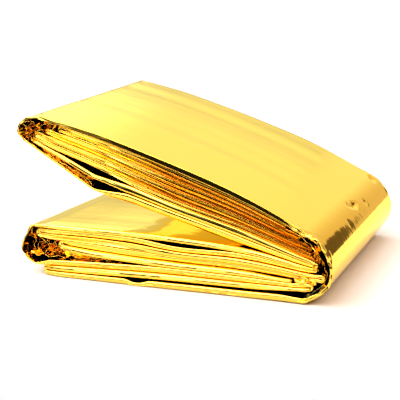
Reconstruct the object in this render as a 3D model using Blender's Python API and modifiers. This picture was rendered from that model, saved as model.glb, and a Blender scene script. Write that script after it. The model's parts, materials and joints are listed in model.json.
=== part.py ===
"""Emergency foil blanket: a strip of folded gold film, laid back and forth on itself.

The blanket is folded lengthwise into a strip, and the strip is folded into a packet. The packet
lies on its lower half and its upper half is opened, so that its end is a V lying on its side.
The strip is one piece: its centre line is worked out from the table LENGTHS, a row for each
length between two folds, and is then carried across the width of the strip and thickened.

Metres, +Z up. The origin is under the middle of the packet, on the face it rests on.
+X points to the round closed end, -Y to the side where the edges of the folds show.
"""

from collections import namedtuple

import bpy
import numpy as np

# Driving dimensions, in metres.
STRIP_WIDTH = 0.100          # width of the folded strip, along Y
SHEET = 0.0010               # thickness of one length of the strip, its plies pressed together
PACKET_LEFT = -0.0100        # table X of the packet's left end
PACKET_RIGHT = 0.1075        # table X of the round end
EDGE_STEP = 0.0008           # how far a length's edges may stand back from their neighbours
NEAR_WAVE = 0.047            # slowness of the wave in which the near edges stand back
FAR_WAVE = 0.061             # and of the wave at the far edges
FAR_PHASE = 1.3              # the far wave's start, in radians
LOWER_SKEW = 0.0075          # how far the far corner of the lower left end is pulled inwards
LOWER_TOP = 0.0210           # top of the lower half at its left end
SKEW_FADE = 0.0080           # height above LOWER_TOP over which that pull fades out

MM = 0.001
LENGTH_POINTS = 9            # points on a length that bows softly
FOLD_POINTS = 4              # points added round a fold
BEND_POINTS = 3              # points added on each stretch of a rounded end
ACROSS = 5                   # strips across the width
FOLD_BULGE = 0.66            # how far a fold stands out, as a share of the gap it turns across
CREASE_ROUND = 0.8           # half the breadth of a soft crease, in millimetres
STATIONS = (0.0, 50.0, 100.0)  # table X at which each length's heights are given, in millimetres

GOLD = (0.90, 0.66, 0.18, 1.0)
GOLD_ROUGHNESS = 0.16

# One row for each length of the strip between two folds, in the order in which the strip runs, in
# millimetres from the near lower left corner. It reaches from left to right, and low, mid and high
# are its heights at the three stations: the left corner, the middle and near the round end. A
# length with a crease is straight on both sides of it, and mid is then its height at the crease.
# The first length runs to the left, the next to the right, and so on in turn.
Length = namedtuple("Length", "name left right z_left z_mid z_right crease")
LENGTHS = [
    # the stack of the upper half, from its inner end downwards
    Length("upper 7", 7.5, 88.0, 57.6, 41.6, 23.5, None),
    Length("upper 6", 7.0, 92.4, 56.2, 40.0, 22.2, None),
    Length("upper 5", 2.0, 92.0, 54.8, 38.3, 20.8, None),
    Length("upper 4", 1.5, 96.4, 53.4, 36.7, 19.4, None),
    Length("upper 3", -1.8, 96.0, 52.0, 35.0, 18.1, None),
    Length("upper 2", -2.3, 99.2, 50.5, 33.4, 16.8, None),
    Length("upper 1", -3.8, 98.8, 49.1, 31.7, 15.4, None),
    # the two lengths that hang away from the stack, creased where they leave it
    Length("hanging 2", -4.3, 98.2, 47.0, 37.9, 13.8, 21.5),
    Length("hanging 1", -4.0, 97.8, 44.9, 33.8, 12.2, 20.0),
    # over the top of the packet, and under it
    Length("top", -2.0, 93.0, 58.3, 45.0, 24.2, None),
    Length("lower 1", 1.0, 96.0, 0.5, 0.5, 0.5, None),
    # the rest of the lower half
    Length("lower 2", 0.8, 97.0, 2.2, 4.4, 3.3, None),
    Length("lower 3", 0.0, 97.0, 3.9, 6.9, 4.9, None),
    Length("lower 8", -3.0, 95.3, 19.1, 19.2, 10.9, None),
    Length("lower 7", -3.0, 95.0, 17.5, 17.5, 9.4, None),
    Length("lower 6", -3.0, 102.3, 15.9, 14.8, 8.4, None),
    Length("lower 5", 6.5, 102.0, 13.0, 12.2, 6.9, None),
    Length("lower 4", 6.5, 84.0, 11.3, 9.9, 6.1, None),
]

# The three rounded ends, where the strip goes round others: the points that it passes between the
# length named and the next one, in millimetres.
Bend = namedtuple("Bend", "after x z")
BENDS = [
    Bend("hanging 1", -8.0, 49.8),
    Bend("hanging 1", -9.5, 53.2),
    Bend("hanging 1", -7.2, 56.9),
    Bend("top", 101.8, 22.3),
    Bend("top", 106.9, 13.6),
    Bend("top", 104.2, 5.0),
    Bend("lower 3", -7.8, 6.3),
    Bend("lower 3", -9.1, 10.8),
    Bend("lower 3", -6.9, 15.6),
]


def unit(vector):
    """The vector at length 1."""
    return vector / np.linalg.norm(vector)


def length_points(length, leftwards):
    """Points of one length: its heights follow a parabola, or two lines that meet at a crease."""
    heights = (length.z_left, length.z_mid, length.z_right)
    if length.crease is None:
        x = np.linspace(length.left, length.right, LENGTH_POINTS)
        z = np.polyval(np.polyfit(STATIONS, heights, 2), x)
    else:
        before = np.linspace(length.left, length.crease - CREASE_ROUND, 3)
        after = np.linspace(length.crease + CREASE_ROUND, length.right, 5)
        rise = (length.z_mid - length.z_left) / length.crease
        fall = (length.z_right - length.z_mid) / (STATIONS[-1] - length.crease)
        x = np.concatenate([before, after])
        z = length.z_mid + (x - length.crease) * np.where(x < length.crease, rise, fall)
    points = np.stack([x, z], axis=1) * MM
    return points[::-1] if leftwards else points


def cubic(start, leave, enter, end, count):
    """Points inside a cubic curve from start to end, with its two handles' ends between them."""
    t = np.linspace(0.0, 1.0, count + 2)[1:-1, None]
    return (start * (1 - t) ** 3 + 3 * leave * t * (1 - t) ** 2
            + 3 * enter * t ** 2 * (1 - t) + end * t ** 3)


def fold_points(before, after):
    """Points round a tight fold: a curve that leaves one length and enters the next in line."""
    reach = FOLD_BULGE * np.linalg.norm(after[0] - before[-1])
    leave = before[-1] + unit(before[-1] - before[-2]) * reach
    enter = after[0] - unit(after[1] - after[0]) * reach
    return cubic(before[-1], leave, enter, after[0], FOLD_POINTS)


def bend_points(before, through, after):
    """Points round a rounded end: a smooth curve that passes the points of the end in turn."""
    knots = np.vstack([before[-1], through, after[0]])
    gaps = np.linalg.norm(np.diff(knots, axis=0), axis=1)
    headings = [unit(before[-1] - before[-2])]
    headings += [unit(knots[i + 1] - knots[i - 1]) for i in range(1, len(knots) - 1)]
    headings += [unit(after[1] - after[0])]
    points = []
    for i, gap in enumerate(gaps):
        leave = knots[i] + headings[i] * gap / 3
        enter = knots[i + 1] - headings[i + 1] * gap / 3
        points.append(cubic(knots[i], leave, enter, knots[i + 1], BEND_POINTS))
        points.append(knots[i + 1][None, :])
    return np.vstack(points[:-1])


def centre_line():
    """The whole strip's centre line in X and Z: its lengths, with a fold or a bend between each two."""
    lengths = [length_points(length, i % 2 == 0) for i, length in enumerate(LENGTHS)]
    pieces = [lengths[0]]
    for length, before, after in zip(LENGTHS, lengths, lengths[1:]):
        through = [(bend.x * MM, bend.z * MM) for bend in BENDS if bend.after == length.name]
        turn = bend_points(before, through, after) if through else fold_points(before, after)
        pieces += [turn, after]
    return np.vstack(pieces)


def strip_surface(line):
    """Carry the centre line across the width: a grid of points, one row for each line point.

    The cut edges stand back a little, as a slow wave along the strip, and the far part of the
    lower left end is pulled inwards, most at the table and not at all at the round end.
    """
    step = np.linalg.norm(np.diff(line, axis=0), axis=1)
    along = np.concatenate([[0.0], np.cumsum(step)])
    near = EDGE_STEP * (0.5 + 0.5 * np.sin(along / NEAR_WAVE))
    far = EDGE_STEP * (0.5 + 0.5 * np.sin(along / FAR_WAVE + FAR_PHASE))
    share = np.linspace(0.0, 1.0, ACROSS + 1)
    y = near[:, None] + (STRIP_WIDTH - far - near)[:, None] * share
    leftness = np.clip(1.0 - line[:, 0] / PACKET_RIGHT, 0.0, 1.0)
    lowness = np.clip((LOWER_TOP + SKEW_FADE - line[:, 1]) / SKEW_FADE, 0.0, 1.0)
    x = line[:, 0][:, None] + LOWER_SKEW * (leftness * lowness)[:, None] * share
    z = np.repeat(line[:, 1][:, None], ACROSS + 1, axis=1)
    middle = (PACKET_LEFT + PACKET_RIGHT) / 2
    return np.stack([x - middle, y - STRIP_WIDTH / 2, z], axis=-1)


def grid_mesh(name, grid):
    """A mesh of the grid's points, with a square face between each four neighbours."""
    rows, columns = grid.shape[:2]
    index = np.arange(rows * columns).reshape(rows, columns)
    faces = np.stack([index[:-1, :-1], index[:-1, 1:], index[1:, 1:], index[1:, :-1]], axis=-1)
    mesh = bpy.data.meshes.new(name)
    mesh.from_pydata(grid.reshape(-1, 3).tolist(), [], faces.reshape(-1, 4).tolist())
    mesh.update()
    return mesh


def gold_film():
    """The material of the film: a shiny gold metal."""
    material = bpy.data.materials.new("gold_film")
    material.use_nodes = True
    shader = material.node_tree.nodes["Principled BSDF"]
    shader.inputs["Base Color"].default_value = GOLD
    shader.inputs["Metallic"].default_value = 1.0
    shader.inputs["Roughness"].default_value = GOLD_ROUGHNESS
    return material


def folded_blanket(collection):
    """The whole blanket: the strip's surface, thickened on both sides of its centre."""
    mesh = grid_mesh("folded_blanket", strip_surface(centre_line()))
    mesh.materials.append(gold_film())
    blanket = bpy.data.objects.new("folded_blanket", mesh)
    collection.objects.link(blanket)
    thickness = blanket.modifiers.new("film_thickness", "SOLIDIFY")
    thickness.thickness = SHEET
    thickness.offset = 0.0
    return blanket


def main():
    for old in list(bpy.data.objects):
        bpy.data.objects.remove(old, do_unlink=True)
    collection = bpy.data.collections.new("emergency_foil_blanket")
    bpy.context.scene.collection.children.link(collection)
    folded_blanket(collection)


if __name__ == "__main__":
    main()
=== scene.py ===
"""Emergency foil blanket: the finished look of the folded packet of gold film.

The blanket is one strip: a sheet folded lengthwise until it is as wide as the packet. The strip
runs back and forth, a length above the other, and its path is worked out from LENGTHS, a row for
each length. A closed profile, with a rolled lip at the near edge and several at the far one, is
carried along that path, and its points are then pushed by creases and dents. Loose plies and
crumpled webs of film fill the hollows inside the ends.

The tables are in millimetres from the near lower left corner. The finished pieces are in metres,
in the packet's own frame, with +X to the closed round end.
"""

import json
from collections import namedtuple

import bpy
import numpy as np
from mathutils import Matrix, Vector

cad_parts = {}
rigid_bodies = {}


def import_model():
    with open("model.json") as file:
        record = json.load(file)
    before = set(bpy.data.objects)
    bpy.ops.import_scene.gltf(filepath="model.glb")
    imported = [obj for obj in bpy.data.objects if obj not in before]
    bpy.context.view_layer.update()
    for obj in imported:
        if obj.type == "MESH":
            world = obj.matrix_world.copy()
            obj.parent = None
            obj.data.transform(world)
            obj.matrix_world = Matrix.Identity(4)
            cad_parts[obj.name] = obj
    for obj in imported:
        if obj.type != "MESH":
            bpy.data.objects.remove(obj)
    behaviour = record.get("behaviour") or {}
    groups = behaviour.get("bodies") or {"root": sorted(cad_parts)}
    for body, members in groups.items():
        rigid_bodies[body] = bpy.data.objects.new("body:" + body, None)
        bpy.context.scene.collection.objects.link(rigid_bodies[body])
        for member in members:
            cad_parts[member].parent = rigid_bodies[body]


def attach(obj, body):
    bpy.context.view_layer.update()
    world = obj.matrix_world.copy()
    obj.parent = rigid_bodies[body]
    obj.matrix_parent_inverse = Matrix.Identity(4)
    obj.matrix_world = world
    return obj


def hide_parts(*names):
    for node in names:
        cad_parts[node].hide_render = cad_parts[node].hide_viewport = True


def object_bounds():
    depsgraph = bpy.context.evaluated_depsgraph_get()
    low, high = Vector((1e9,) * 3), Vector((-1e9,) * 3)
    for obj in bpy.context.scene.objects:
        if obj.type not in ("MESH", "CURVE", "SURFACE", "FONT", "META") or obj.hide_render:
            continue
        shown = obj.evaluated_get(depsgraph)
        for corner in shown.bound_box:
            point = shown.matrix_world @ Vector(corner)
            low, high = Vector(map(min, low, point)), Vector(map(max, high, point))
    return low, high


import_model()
CAD_BOX = [list(corner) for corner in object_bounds()]

bl_info = {
    "name": "Emergency Foil Blanket",
    "version": (1, 0, 0),
    "blender": (4, 5, 0),
    "location": "View3D > Sidebar > Foil Blanket",
    "description": "Builds a folded packet of gold film from its folds",
    "category": "Add Mesh",
}

MM = 0.001
NODE = "folded_blanket"
BODY = "root"
FILM_NAME = "creased_gold_film"


# ---------------------------------------------------------------------------------------------
# Tables, in millimetres
# ---------------------------------------------------------------------------------------------

WIDTH = 100.0                # width of the strip
PACKET_LEFT = -10.0          # X of the packet's left end in the tables
PACKET_RIGHT = 107.5         # X of its round end
LOWER_SKEW = 7.5             # how far the far corner of the lower left end is pulled inwards
LOWER_TOP = 21.0             # top of the lower half at its left end
SKEW_FADE = 8.0              # height above LOWER_TOP over which that pull fades out
STATIONS = np.array([0.0, 20.0, 35.0, 50.0, 75.0, 100.0])  # X at which a length's height is given

# One row for each length of the strip between two folds, in the order in which the strip runs. It
# reaches from left to right, and its middle line has these heights where X is one of STATIONS. A
# crisp length is creased there. Outer and inner are the most that the film may stand out on the
# strip's two sides. The first length runs to the left, the next to the right, and so on in turn.
Length = namedtuple("Length", "name left right heights crisp outer inner")
LENGTHS = [
    # the stack of the upper half, from its inner end downwards
    Length("upper 7", 7.5, 91.0, (57.2, 51.9, 47.3, 42.1, 33.2, 22.8), False, 0.9, 0.9),
    Length("upper 6", 7.0, 94.6, (56.0, 50.4, 45.6, 40.4, 31.8, 21.7), False, 0.9, 0.9),
    Length("upper 5", 2.0, 94.2, (54.7, 48.9, 43.9, 38.7, 30.4, 20.5), False, 0.9, 0.9),
    Length("upper 4", 1.5, 98.8, (53.4, 47.4, 42.2, 37.0, 29.0, 19.4), False, 0.9, 0.9),
    Length("upper 3", -1.8, 98.4, (52.2, 45.9, 40.5, 35.3, 27.6, 18.3), False, 0.9, 0.9),
    Length("upper 2", -2.3, 101.8, (50.9, 44.4, 38.8, 33.6, 26.3, 17.3), False, 0.9, 0.9),
    Length("upper 1", -3.2, 101.4, (49.6, 42.9, 37.2, 31.9, 24.9, 16.2), False, 0.9, 0.8),
    # the two lengths that hang away from the stack
    Length("hanging 2", -3.4, 101.4, (47.9, 38.2, 34.7, 29.9, 22.9, 15.0), True, 1.2, 1.6),
    Length("hanging 1", -4.5, 101.0, (46.0, 34.2, 31.0, 26.9, 20.1, 13.7), True, 1.5, 2.3),
    # over the top of the packet, and under it
    Length("top", -2.0, 94.0, (58.3, 53.9, 49.6, 44.8, 35.85, 24.1), False, 0.60, 2.0),
    Length("lower 1", 0.5, 96.5, (0.62, 0.62, 0.62, 0.62, 0.62, 1.0), False, 0.60, 2.6),
    # the rest of the lower half
    Length("lower 2", 0.0, 99.0, (3.2, 3.7, 4.2, 4.5, 4.7, 5.1), False, 1.2, 1.3),
    Length("lower 3", 0.0, 99.5, (4.9, 5.9, 6.4, 6.7, 6.7, 6.6), False, 1.2, 1.2),
    Length("lower 8", -2.5, 101.2, (18.6, 18.8, 18.7, 18.5, 17.0, 12.9), False, 0.9, 1.0),
    Length("lower 7", -2.5, 100.8, (16.6, 16.9, 16.7, 15.0, 14.9, 11.8), False, 1.0, 1.0),
    Length("lower 6", -2.5, 103.2, (15.1, 14.9, 14.2, 13.2, 12.9, 10.4), False, 1.2, 1.2),
    Length("lower 5", 6.5, 102.9, (13.4, 12.3, 11.6, 11.2, 10.8, 8.9), False, 1.2, 1.2),
    Length("lower 4", 6.5, 93.0, (12.0, 10.0, 9.4, 9.1, 8.8, 7.6), False, 1.2, 1.2),
]

# The near lip of each length. Back is how far it stands back, and square is how flat its front is:
# 2 for a round one, more for a flatter one. Lean is how much farther back the front's outer edge
# stands than its inner one, as a share of half the film's thickness, and hollow is how deep the
# front is between the two edges. Each has a value for the length's left part and for its right.
Lip = namedtuple("Lip", "back square lean_left lean_right hollow_left hollow_right")
LIPS = {
    "upper 7": Lip(0.5, 3.0, 0.85, 0.1, 0.1, 2.3),
    "upper 6": Lip(0.9, 2.6, 0.6, 0.0, 1.0, 3.0),
    "upper 5": Lip(0.3, 3.2, 0.85, 0.1, 0.1, 2.4),
    "upper 4": Lip(1.1, 2.6, 0.6, 0.0, 1.0, 3.1),
    "upper 3": Lip(0.2, 3.0, 0.85, 0.1, 0.1, 2.4),
    "upper 2": Lip(0.8, 2.6, 0.6, 0.0, 0.9, 3.0),
    "upper 1": Lip(0.3, 3.0, 0.85, 0.1, 0.1, 2.2),
    "hanging 2": Lip(0.6, 2.4, 0.4, 0.3, 0.0, 0.2),
    "hanging 1": Lip(0.0, 2.0, 0.9, 0.9, 0.0, 0.1),
    "top": Lip(0.0, 12.0, 0.6, 0.0, 0.0, 0.0),
    "lower 1": Lip(0.0, 2.0, 0.45, 0.45, 0.0, 0.0),
    "lower 2": Lip(0.4, 2.1, 0.45, 0.45, 0.0, 0.0),
    "lower 3": Lip(0.1, 2.0, 0.5, 0.5, 0.0, 0.0),
    "lower 8": Lip(0.0, 2.0, 0.45, 0.45, 0.0, 0.0),
    "lower 7": Lip(0.5, 2.2, 0.45, 0.45, 0.0, 0.0),
    "lower 6": Lip(0.1, 2.0, 0.1, -0.2, 1.7, 0.1),
    "lower 5": Lip(0.9, 2.1, 0.5, 0.5, 0.5, 0.0),
    "lower 4": Lip(0.1, 2.0, 0.45, 0.45, 0.0, 0.0),
}

# Where the strip goes round others at a rounded end: the points that it passes after a length, and
# the most that the film may stand out there.
Bend = namedtuple("Bend", "after x z outer inner")
BENDS = [
    Bend("hanging 1", -7.2, 50.3, 0.35, 0.4),
    Bend("hanging 1", -9.2, 52.2, 0.35, 0.4),
    Bend("hanging 1", -9.2, 54.6, 0.35, 0.4),
    Bend("hanging 1", -7.6, 56.9, 0.35, 0.4),
    Bend("hanging 1", -5.0, 58.2, 0.4, 0.6),
    Bend("top", 99.4, 24.2, 0.6, 0.7),
    Bend("top", 103.4, 20.8, 0.6, 0.4),
    Bend("top", 106.0, 16.6, 0.6, 0.4),
    Bend("top", 106.9, 12.2, 0.6, 0.4),
    Bend("top", 106.0, 8.2, 0.6, 0.4),
    Bend("top", 103.4, 4.9, 0.6, 0.5),
    Bend("top", 100.0, 2.4, 0.6, 0.6),
    Bend("lower 3", -3.5, 4.4, 0.4, 0.4),
    Bend("lower 3", -7.7, 6.9, 0.28, 0.28),
    Bend("lower 3", -9.2, 10.6, 0.28, 0.28),
    Bend("lower 3", -7.5, 14.8, 0.28, 0.28),
    Bend("lower 3", -5.4, 18.2, 0.35, 0.35),
]
WRAPPED = {bend.after for bend in BENDS}

# Where the film is pinched: from start to end it stands out no more than least on one side of a
# length, and it is back at its full height a ramp farther on.
Pinch = namedtuple("Pinch", "name side start end least ramp")
PINCHES = [
    Pinch("top", "inner", -5.0, 14.0, 0.5, 26.0),
    Pinch("hanging 2", "inner", -5.0, 22.0, 0.45, 9.0),
    Pinch("hanging 1", "inner", -5.0, 21.0, 0.35, 13.0),
    Pinch("hanging 1", "outer", -5.0, 20.0, 0.45, 6.0),
    Pinch("upper 7", "outer", 3.0, 9.0, 0.35, 5.0),
    Pinch("upper 5", "inner", 1.0, 5.0, 0.35, 5.0),
    Pinch("lower 1", "inner", 35.0, 37.0, 0.7, 4.0),
    Pinch("lower 1", "inner", 97.0, 101.0, 1.4, 13.0),
    Pinch("lower 2", "inner", 96.0, 101.0, 0.5, 13.0),
    Pinch("lower 8", "inner", -3.0, 0.0, 0.5, 6.0),
    Pinch("lower 5", "outer", 89.0, 96.0, 0.7, 16.0),
    Pinch("lower 4", "outer", 89.0, 96.0, 0.5, 18.0),
]

# Loose plies of film inside the ends: how far back each one's front edge is, how far it goes back
# from there, and the points that the edge passes.
Ply = namedtuple("Ply", "back depth points")
PLIES = [
    # in the rounded end of the upper half
    Ply(0.6, 16.0, [(-7.9, 51.6), (-5.6, 54.6), (-7.1, 56.0), (-3.6, 56.9), (-1.5, 54.9),
                    (0.6, 56.2), (5.5, 56.4)]),
    Ply(1.2, 14.0, [(-6.9, 51.1), (-3.9, 53.0), (-5.4, 54.9), (-2.3, 55.6), (-3.1, 53.5),
                    (0.0, 54.0), (-1.2, 52.4)]),
    Ply(0.8, 12.0, [(-5.7, 50.2), (-4.6, 51.6), (-3.9, 50.2), (-3.0, 51.8)]),
    # between the two lengths that hang away from the stack
    Ply(1.0, 20.0, [(-1.5, 46.6), (6.0, 43.4), (12.0, 40.4), (17.6, 37.6), (19.4, 35.6)]),
    Ply(1.6, 20.0, [(2.0, 45.3), (7.0, 42.3), (11.0, 40.6), (15.0, 38.2), (17.2, 36.7), (18.6, 35.4)]),
    # in the rounded end of the lower half
    Ply(3.0, 14.0, [(-3.5, 13.6), (-1.4, 12.8), (-0.2, 10.6), (-1.0, 8.6), (-3.0, 8.2),
                    (-4.4, 10.0), (-3.6, 12.0), (-1.8, 11.6)]),
    Ply(2.6, 18.0, [(-6.5, 8.2), (-4.5, 6.9), (-2.0, 7.6), (0.5, 6.6), (3.5, 7.6), (6.0, 7.0),
                    (9.5, 7.9), (13.0, 7.6), (18.0, 7.9), (24.0, 7.85)]),
    Ply(3.2, 14.0, [(-6.8, 13.8), (-5.0, 12.4), (-6.4, 10.6), (-5.2, 9.2)]),
    Ply(1.6, 10.0, [(0.4, 13.6), (2.0, 11.8), (3.4, 13.0), (4.4, 11.2)]),
    Ply(4.0, 16.0, [(0.5, 9.4), (4.5, 8.8), (8.5, 9.3), (11.5, 8.4)]),
    # in the closed round end, where the first goes all the way to the far edge
    Ply(0.4, WIDTH, [(91.0, 26.2), (95.2, 24.2), (99.0, 21.6), (102.4, 18.0), (104.5, 14.6),
                     (105.2, 11.4), (104.6, 8.0), (102.8, 5.0)]),
    Ply(0.0, 12.0, [(94.2, 8.9), (95.6, 9.9), (97.0, 7.9), (98.4, 9.6), (100.2, 7.9), (101.6, 8.9)]),
    Ply(0.5, 12.0, [(99.8, 17.4), (101.2, 15.6), (100.6, 13.8), (102.4, 12.6)]),
]

# Crumpled webs of film that close the ends' hollows: how far back each one is, how high its creases
# stand and how far apart they are, how many times closer they come along the web than up it, and the
# X and Z of its four corners.
Web = namedtuple("Web", "back height pitch crowding low_left low_right high_left high_right")
WEBS = [
    Web(5.4, 3.4, 4.0, 1.0, (-8.4, 51.4), (0.0, 50.6), (-7.8, 56.6), (6.0, 56.4)),
    Web(4.4, 2.6, 1.3, 0.07, (-1.0, 46.9), (18.8, 35.6), (-1.0, 47.9), (18.8, 37.9)),
    Web(7.6, 5.0, 5.0, 0.7, (-8.2, 6.8), (8.0, 7.4), (-7.6, 14.6), (7.5, 13.8)),
    Web(5.0, 3.4, 3.0, 0.3, (6.0, 6.8), (29.0, 7.6), (6.0, 10.2), (29.0, 8.2)),
    Web(7.0, 4.4, 4.5, 1.0, (100.0, 5.4), (104.4, 6.4), (98.0, 23.4), (104.4, 18.6)),
    Web(2.2, 1.7, 4.0, 1.0, (94.2, 7.3), (101.5, 7.0), (94.2, 9.6), (101.5, 9.0)),
]

# Dents in the closed round end: X and Z of the nearest point of the strip's line, Y of the dent's
# middle, its half sizes round the end and along Y, how it is turned, in radians, and its depth.
Dent = namedtuple("Dent", "x z y round across turn depth")
DENTS = [
    Dent(101.5, 22.6, 54.0, 2.3, 5.0, 0.0, 1.25),
    Dent(100.6, 23.3, 49.5, 1.7, 3.0, -0.4, 0.7),
    Dent(102.9, 21.3, 66.0, 2.2, 2.0, 0.2, 0.7),
    Dent(99.6, 24.0, 94.0, 2.3, 3.6, 0.4, 1.1),
    Dent(103.8, 20.3, 36.0, 1.5, 2.2, 0.6, 0.15),
]

# Slow uneven waves along the strip: how much the first sine of each adds, the seed of the sines'
# phases, and their pitches. Each keeps one thing from being the same all along.
Wave = namedtuple("Wave", "amount seed pitches")
SQUARE_WAVE = Wave(0.1, 11, (61.0, 23.0))        # the squareness of the near lip's front
CREVICE_WAVE = Wave(0.10, 12, (47.0, 19.0))      # the height of its crevice, as a share
OPEN_WAVE = Wave(0.9, 13, (31.0, 13.0, 6.1))     # how open the crevice is
FRONT_WAVE = Wave(0.008, 14, (17.0, 9.1))        # the depth of the front
HOLLOW_WAVE = Wave(0.12, 15, (83.0, 41.0))       # the depth of its hollow, as a share
MIDDLE_WAVE = Wave(0.06, 16, (97.0, 41.0))       # the height of the hollow's middle, as a share
BREADTH_WAVE = Wave(0.03, 17, (73.0, 37.0))      # the breadth of the hollow, as a share
NEAR_EDGE_WAVE = Wave(0.15, 21, (83.0, 37.0))    # where the near edge lies
FAR_EDGE_WAVE = Wave(0.225, 22, (67.0, 31.0))    # where the far edge lies
FACE_WAVE = Wave(0.03, 35, (31.0, 19.0, 13.0))   # the height of the faces, across the strip


# Creases that break film into facets: their seed, the facets' size, and how much closer they come
# across the film than along it. A ply's seeds are counted up from its own.
Facets = namedtuple("Facets", "seed size closer")
LARGE_FACETS = Facets(31, 5.5, 1.7)
FINE_FACETS = Facets(32, 2.1, 2.5)
EDGE_FACETS = Facets(33, 4.0, 3.0)
SOFT_FACETS = Facets(34, 9.0, 1.0)
PLY_FACETS = Facets(0, 2.6, 0.6)
PLY_FINE_FACETS = Facets(1, 1.1, 1.0)
PLY_RAG_FACETS = Facets(2, 3.1, 0.0)


# ---------------------------------------------------------------------------------------------
# Measures of the making, in millimetres unless they are shares or numbers of points
# ---------------------------------------------------------------------------------------------

# the strip's line and thickness
STEP = 1.0                   # spacing of points along a length
FOLD_POINTS = 9              # points round a tight fold
BEND_POINTS = 7              # points on each stretch of a rounded end
FOLD_BULGE = 0.66            # how far a fold stands out, as a share of the gap it turns across
CLEARANCE = 0.10             # least gap between neighbouring lengths
THINNEST = 0.22              # least half thickness
OWN_REACH = 4.0              # points nearer than this along the strip aren't neighbours
BESIDE = 0.9                 # how far off a point may be along the heading and still lie beside
OPEN_AIR = 99.0              # distance to the next length where there is none
LEAST_TURN = 1e-3            # least turning, so that a straight length has a radius
RADIUS_SHARE = 0.85          # most of the fold's radius that the film fills on its inside
DIP_REACH = 1.2              # how far a dip in the thickness is carried along the strip
FOLD_THINNING = 0.30         # share of its thickness that the film loses in a tight fold

# how far the tables' values blend into each other over the folds
THICKNESS_BLEND = 0.9
CAP_BLEND = 1.5
TURN_BLEND = 2.5
BACK_BLEND = 3.0
HOLLOW_BLEND = 4.0
LIP_BLEND = 6.0
HOLLOW_RAMP = (20.0, 50.0)   # X between which a lip's left hollow goes over into its right one
LEAN_RAMP = (4.0, 56.0)      # X between which its left lean goes over into its right one

# the near lip
NEAR_POINTS = 33             # points round it
FRONT_DEPTH = 0.9            # depth of its rounded front, as a share of half the film's thickness
FRONT_MOST = 1.2             # the most that depth may be
LEAST_SQUARE = 1.8           # roundest that the front may be
HOLLOW_BREADTH = 0.58        # half breadth of its hollow, as a share of half the film's thickness
HOLLOW_BROADER = 0.20        # how much is added to that at the right
HOLLOW_STEEP = 2.5           # steepness of the hollow's sides
HOLLOW_STEEPER = 3.5         # how much is added to that at the right
CREVICE_PLACE = 0.12         # height of the crevice above the film's middle, as a share
CREVICE_BREADTH = 0.10       # its breadth, as a share
CREVICE_DEPTH = 0.5          # its depth where it is open
CREVICE_OPEN = 0.15          # how open it is on average
CREVICE_HOLLOW = 0.06        # depth of the hollow from which the front has no crevice
CREVICE_SQUARE = 4.0         # and the squareness from which it has none
NEAR_SETBACK = 0.35          # how far every near lip stands back from Y 0
FOLD_SETBACK = 1.1           # how much farther back it stands at a tight fold

# the far lips
FAR_LIPS = 3                 # rolled lips at the far edge
FAR_POINTS = 7               # points round each of them
FAR_SETBACK = 0.95           # how far they stand back from the strip's full width
FAR_LOBE = 0.98              # height of a far lip, as a share of the room it has
FAR_ROLL = 1.6               # depth of a far lip, as a share of half its height
FAR_ROLL_MOST = 0.9          # the most that depth may be

# the creases
EDGE_REACH = 6.0             # how far in from the edges the creases of an end reach
ROUND_LESS = 3.5             # how much less far they reach at the closed round end
ROUND_RAMP = (80.0, 90.0)    # X between which the creases of the closed round end fade out
INSIDE_SHARE = 0.15          # share of the creases that is left far from the edges
THICKNESS_SHARE = 1.3        # share of the creases for each millimetre of the film's thickness
THIN_SHARE = 0.3             # least share of them on thin film
LARGE_PUSH = 0.75            # how far the large facets push the film's faces at the turns
FINE_PUSH = 0.25             # how far the fine ones push them
SOFT_PUSH = 0.025            # how far the soft ones push the faces beside the edges, everywhere
EDGE_PUSH = 1.1              # how far facets push the edges in and out at the turns
EDGE_LEAST = 0.04            # and how far elsewhere
STREAK_SLANT = 0.06          # how far FACE_WAVE moves across the strip as it goes along it

# the loose plies and webs
PLY_STEP = 0.35              # spacing of points along a loose ply's front edge
PLY_ROWS = 26                # points from its front to its back
PLY_CROWDING = 1.5           # power by which those points crowd at the front
PLY_FRONT = 0.25             # how far behind its place in the table its front edge lies
PLY_FAR_GAP = 1.0            # least distance of its back from the strip's far edge
PLY_PUSH = 0.42              # how far its large facets push it
PLY_FINE_PUSH = 0.12         # how far its fine facets push it
PLY_RAG = 0.5                # how ragged its front edge is
PLY_RAG_REACH = 2.0          # how far back the raggedness goes before it fades
PLY_SEED = 50
WEB_STEP = 0.22              # spacing of points on a web
WEB_FRONT = 0.6              # least Y of a web
WEB_SWAY = 0.08              # how far creases push it up and sideways, as a share of its height
WEB_SLACK = 1.3              # its flat area, as a share of the area that it spans
WEB_SEED = 400
SEED_STEP = 7                # how much the seed goes up from one ply or web to the next

# the stage, in metres
FLOOR_FRONT = -0.125         # where the paper under the packet ends on the near side
FLOOR_FAR = 1.6              # how far it goes to the back and the sides
NEAREST_SEEN = 0.01          # nearest and farthest that the camera sees
FARTHEST_SEEN = 10.0
SENSOR_WIDTH = 36.0          # width of its sensor, in millimetres


# ---------------------------------------------------------------------------------------------
# Curves
# ---------------------------------------------------------------------------------------------

def unit(vectors):
    """Vectors scaled to length 1."""
    return vectors / np.linalg.norm(vectors, axis=-1, keepdims=True)


def ramp(values, start, end):
    """0 up to start, 1 from end on, and in between in proportion."""
    return np.clip((values - start) / (end - start), 0.0, 1.0)


def distances(points):
    """Distance along a line of points from its first to each of them."""
    gaps = np.linalg.norm(np.diff(points, axis=0), axis=1)
    return np.concatenate([[0.0], np.cumsum(gaps)])


def normals(heading):
    """Headings turned a quarter to the left."""
    return np.stack([-heading[:, 1], heading[:, 0]], axis=1)


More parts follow.
